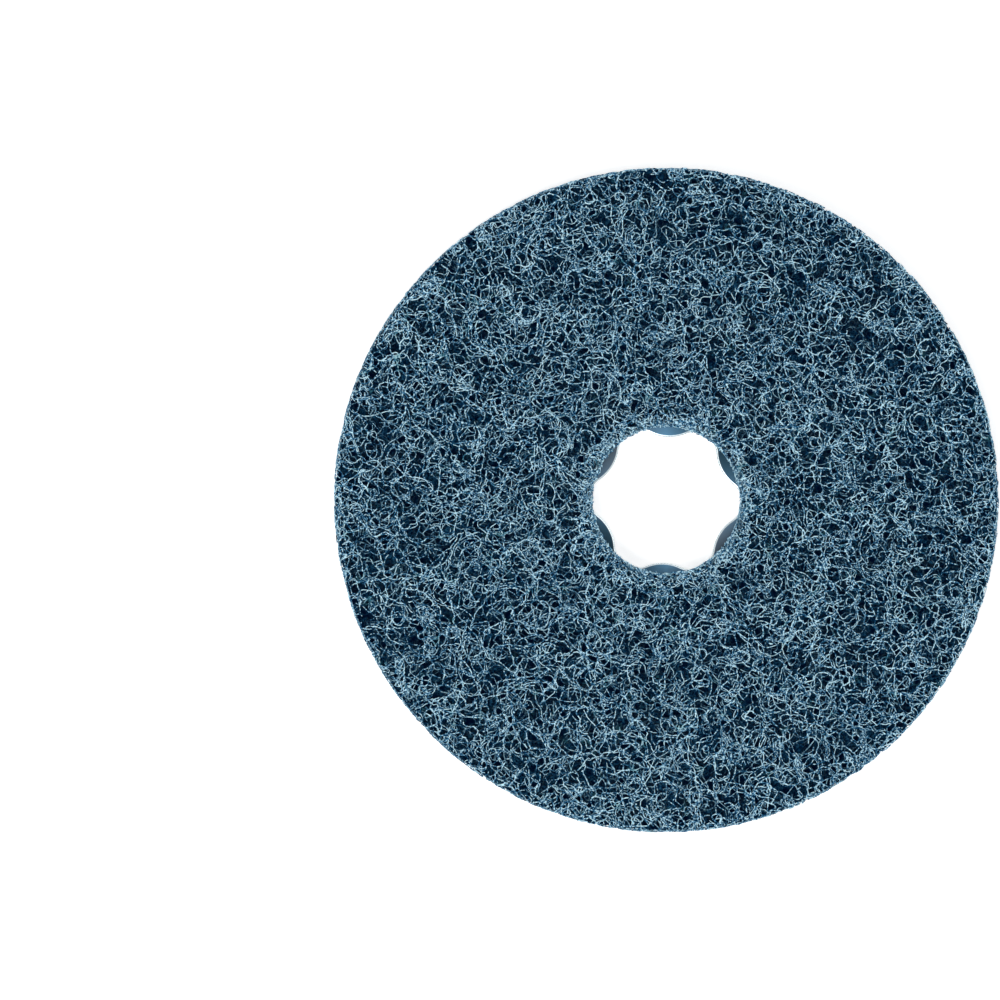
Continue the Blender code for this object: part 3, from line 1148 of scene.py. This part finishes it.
def sheet_path(ring):
    """The bent sheet from the hole's edge to the flange, as (distance, height, heading, share of painted
    light).
    """
    half = ring.sheet / 2
    foot = ring.foot_bend + half
    crest = ring.crest_bend + half
    lip_slope, lip_straight = wall_of_bead(ring.crest_above_lip, foot, crest, ring.wall_angle)
    flange_slope, flange_straight = wall_of_bead(ring.crest_above_flange, foot, crest, ring.wall_angle)
    path = SheetPath(half + ring.crest_above_lip)
    path.go_straight(ring.lip_width, LIP_BANDS)
    path.go_round(-lip_slope, foot, LIP_FOOT_SHADE)
    path.go_straight(lip_straight, 1, LIP_FOOT_SHADE)
    path.go_round(lip_slope, crest)
    path.go_round(flange_slope, crest)
    # A painted dark reflection along the crest
    for place in (-BEND_STEPS - 1, -BEND_STEPS):
        path.points[place] = (*path.points[place][:-1], CREST_DARK_REFLECTION)
    path.go_straight(flange_straight * BRIGHT_WALL, 1, WALL_SHINE)
    path.go_straight(flange_straight * (1 - BRIGHT_WALL), 1, FLANGE_FOOT_SHADE)
    path.go_round(-flange_slope, foot, FLANGE_FOOT_SHADE)
    return path.points


def level_direction(angle):
    """The direction at an angle on the flat, of length 1."""
    return Vector((math.cos(angle), math.sin(angle), 0.0))


def arc_points(centre, radius, middle, half_sweep, steps, side):
    """Points on an arc with their outward directions; side is 1 for a lobe and -1 for a valley."""
    points = []
    for step in range(steps):
        outward = level_direction(middle + side * half_sweep * (2 * step / steps - 1))
        points.append((centre + outward * radius * side, outward))
    return points


def star_outline(ring, bead_width):
    """The hole's edge as (point, outward direction): lobe arcs and valley arcs, each tangent to the next."""
    half_pitch = math.pi / LOBE_COUNT
    lobe_reach = ring.valley_radius + ring.lobe_depth
    valley_arc = ring.bead_valley + bead_width
    valley_centre = ring.valley_radius + valley_arc
    along = valley_centre * math.cos(half_pitch)
    gap_squared = lobe_reach**2 + valley_centre**2 - 2 * lobe_reach * along
    lobe_arc = (gap_squared - valley_arc**2) / (2 * (lobe_reach - along + valley_arc))
    lobe_centre = lobe_reach - lobe_arc
    half_sweep = math.atan2(valley_centre * math.sin(half_pitch), along - lobe_centre)
    outline = []
    for lobe in range(LOBE_COUNT):
        lobe_angle = ring.star_turn + 2 * half_pitch * lobe
        valley_angle = lobe_angle + half_pitch
        lobe_middle = lobe_centre * level_direction(lobe_angle)
        valley_middle = valley_centre * level_direction(valley_angle)
        outline += arc_points(lobe_middle, lobe_arc, lobe_angle, half_sweep, LOBE_STEPS, 1)
        less = half_sweep - half_pitch
        outline += arc_points(valley_middle, valley_arc, valley_angle, less, VALLEY_STEPS, -1)
    return outline


def star_loop(outline, distance, height):
    """A loop that runs beside the hole's edge, at one distance from it."""
    lift = Vector((0.0, 0.0, height))
    return [point + outward * distance + lift for point, outward in outline]


def flange_loop(outline, foot, share, radius, height):
    """A loop on the flange, a share of the way from the bead's foot to a round edge of that radius."""
    loop = []
    for point, outward in outline:
        start = point + outward * foot
        loop.append(start.lerp(start.normalized() * radius, share) + Vector((0.0, 0.0, height)))
    return loop


def sheet_face(ring, outline, path, side):
    """The loops of one face of the sheet, from the hole's edge to the flange's edge, with each loop's share
    of painted light.
    """
    half = ring.sheet / 2
    foot = path[-1][0]
    lip_height = path[0][1]
    flange_height = path[-1][1]
    rounding = ring.edge_break
    rows = []
    # The hole's rounded edge gets the full painted highlight
    for step in range(EDGE_STEPS + 1):
        angle = math.pi / 2 * step / EDGE_STEPS
        inset = rounding * (1 - math.cos(math.pi / 2 - angle))
        rise = half - rounding * (1 - math.sin(angle))
        rows.append((star_loop(outline, rounding - inset, lip_height + side * rise), 1.0))
    rows.append((star_loop(outline, rounding * EDGE_SHINE, lip_height + side * half), 0.0))
    for distance, height, heading, bent in path[1:]:
        across = distance - side * half * math.sin(heading)
        rows.append((star_loop(outline, across, height + side * half * math.cos(heading)), bent))
    for share in FLANGE_BANDS:
        rows.append((flange_loop(outline, foot, share, RING_RADIUS, flange_height + side * half), 0.0))
    # The flange's rounded edge gets the full painted highlight
    for step in range(EDGE_STEPS + 1):
        angle = math.pi / 2 * step / EDGE_STEPS
        radius = RING_RADIUS - rounding * (1 - math.sin(angle))
        rise = half - rounding * (1 - math.cos(angle))
        rows.append((flange_loop(outline, foot, 1.0, radius, flange_height + side * rise), 1.0))
    return rows


def store_on_loops(mesh, name, shares, count):
    """Stores a share for each loop on the points of that loop, for the material."""
    layer = mesh.attributes.new(name, "FLOAT", "POINT")
    layer.data.foreach_set("value", numpy.repeat(numpy.array(shares, dtype=numpy.float32), count))


class DISC_OT_mounting_ring(bpy.types.Operator):
    """Build the stamped and plated ring with its lip, bead and flange."""

    bl_idname = "disc.mounting_ring"
    bl_label = "Mounting ring"

    def execute(self, context):
        ring = context.scene.disc_ring
        colours = context.scene.disc_colours
        path = sheet_path(ring)
        outline = star_outline(ring, path[-1][0])
        back = sheet_face(ring, outline, path, -1)
        front = sheet_face(ring, outline, path, 1)[::-1]
        rows = back + front
        tints = (colours.grey_reflection_steel, colours.front_steel, colours.dark_reflection_steel)
        tones = (colours.flat_steel, tints, colours.highlight_steel, colours.shade_steel)
        material = steel_material("plated_steel", *tones, ring.star_turn)
        mesh = skin_mesh("stamped_ring", [loop for loop, _bent in rows], material)
        # The stored bend share is painted light: highlight on bends and edges above nought, shade below
        store_on_loops(mesh, "bend", [bent for _loop, bent in rows], len(outline))
        store_on_loops(mesh, "front", [0.0] * len(back) + [1.0] * len(front), len(outline))
        add_piece("stamped_ring", mesh, RING_SLOT, RING_NODE)
        return {"FINISHED"}


def seen_directly(where):
    """1 for what the camera sees, mirrored or through glass too, and 0 for light on the object."""
    rays = add_node(where, "ShaderNodeLightPath")
    mirrored = greater(rays["Is Glossy Ray"], rays["Is Transmission Ray"])
    return greater(rays["Is Camera Ray"], mirrored)


WHITE = (1.0, 1.0, 1.0)

# The floor's grain in cells for each metre, and how brightly it glows
PAPER_GRAIN = 900.0
PAPER_GLOW = 0.5

# Where the lamps hang, how wide they are and what share of the power they have
KEY_LAMP = ((-0.35, -0.45, 1.2), 0.6, 1.0)
FILL_LAMP = ((0.5, 0.3, 1.1), 0.8, 1 / 3)


def floor_material():
    """White paper that keeps the object's shadow and looks white to the camera."""
    material, shader, place = new_material("floor_paper")
    fleck = ramped(noise_value(place, PAPER_GRAIN), 0.2, 0.8)
    feed(shader["Base Color"], blended(fleck, (0.9, 0.9, 0.9), (0.92, 0.92, 0.92)))
    shader["Roughness"].default_value = 0.9
    feed(shader["Emission Color"], WHITE)
    feed(shader["Emission Strength"], seen_directly(place) * PAPER_GLOW)
    return material


def lay_floor(stage):
    """The square floor under the crest of the ring."""
    half = stage.floor_size / 2
    mesh = flat_rectangle("floor", -half, half, -half, half)
    mesh.materials.append(floor_material())
    add_object("floor", mesh)


def light_sky(scene, strength):
    """A white world: full white to the camera, softer as light on the object."""
    sky = bpy.data.worlds.new("studio")
    sky.use_nodes = True
    tree = sky.node_tree
    background = tree.nodes["Background"].inputs
    feed(background["Color"], WHITE)
    softer = (1.0 - seen_directly(tree)) * strength
    feed(background["Strength"], seen_directly(tree) + softer)
    scene.world = sky


def hang_lamp(name, power, place, side, share):
    """A square soft lamp that faces the disc, with a share of the power."""
    light = bpy.data.lights.new(name, "AREA")
    light.shape = "SQUARE"
    light.size = side
    light.energy = power * share
    lamp = add_object(name, light)
    lamp.location = place
    lamp.rotation_euler = (-Vector(place)).to_track_quat("-Z", "Y").to_euler()


SENSOR_WIDTH = 36.0


def place_camera(scene, stage):
    """The camera straight above the face, with the disc right of the picture's middle."""
    lens = bpy.data.cameras.new("camera")
    lens.sensor_width = SENSOR_WIDTH
    lens.lens = SENSOR_WIDTH * stage.camera_height / stage.frame_width
    lens.clip_start = stage.camera_height / 100
    lens.clip_end = stage.camera_height * 10
    camera = add_object("camera", lens)
    camera.location = (-stage.disc_right_of_middle, 0.0, WEB_HIGH.z + stage.camera_height)
    scene.camera = camera


class DISC_OT_stage(bpy.types.Operator):
    """Set the pale floor, the soft light and the camera that looks straight down."""

    bl_idname = "disc.stage"
    bl_label = "Stage"

    def execute(self, context):
        stage = context.scene.disc_stage
        lay_floor(stage)
        light_sky(context.scene, stage.sky_strength)
        hang_lamp("key_lamp", stage.lamp_power, *KEY_LAMP)
        hang_lamp("fill_lamp", stage.lamp_power, *FILL_LAMP)
        place_camera(context.scene, stage)
        context.scene.view_settings.view_transform = "Standard"
        return {"FINISHED"}


OPERATORS = (
    DISC_OT_stage,
    DISC_OT_web_heart,
    DISC_OT_face_fibres,
    DISC_OT_cut_fibres,
    DISC_OT_back_felt,
    DISC_OT_mounting_ring,
)
SETTINGS = {
    "disc_web": WebSettings,
    "disc_colours": ColourSettings,
    "disc_ring": RingSettings,
    "disc_stage": StageSettings,
}


class DISC_PT_panel(bpy.types.Panel):
    """Lists the steps that dress the disc, with their sizes and colours."""

    bl_idname = "DISC_PT_panel"
    bl_label = "Surface conditioning disc"
    bl_space_type = "VIEW_3D"
    bl_region_type = "UI"
    bl_category = "Disc"

    def draw(self, context):
        for operator in OPERATORS:
            self.layout.operator(operator.bl_idname)
        for name, settings in SETTINGS.items():
            box = self.layout.box()
            box.label(text=settings.__doc__)
            for field in settings.__annotations__:
                box.prop(getattr(context.scene, name), field)


def register():
    """Registers the settings, the operators and the panel."""
    for kind in (*SETTINGS.values(), *OPERATORS, DISC_PT_panel):
        bpy.utils.register_class(kind)
    for name, settings in SETTINGS.items():
        setattr(bpy.types.Scene, name, bpy.props.PointerProperty(type=settings))


def unregister():
    """Takes back what register did."""
    for name in SETTINGS:
        delattr(bpy.types.Scene, name)
    for kind in (DISC_PT_panel, *reversed(OPERATORS), *SETTINGS.values()):
        bpy.utils.unregister_class(kind)


def main():
    """Builds the looks round the frame."""
    register()
    bpy.ops.disc.stage()
    bpy.ops.disc.web_heart()
    bpy.ops.disc.face_fibres()
    bpy.ops.disc.cut_fibres()
    bpy.ops.disc.back_felt()
    bpy.ops.disc.mounting_ring()


if __name__ == "__main__":
    main()
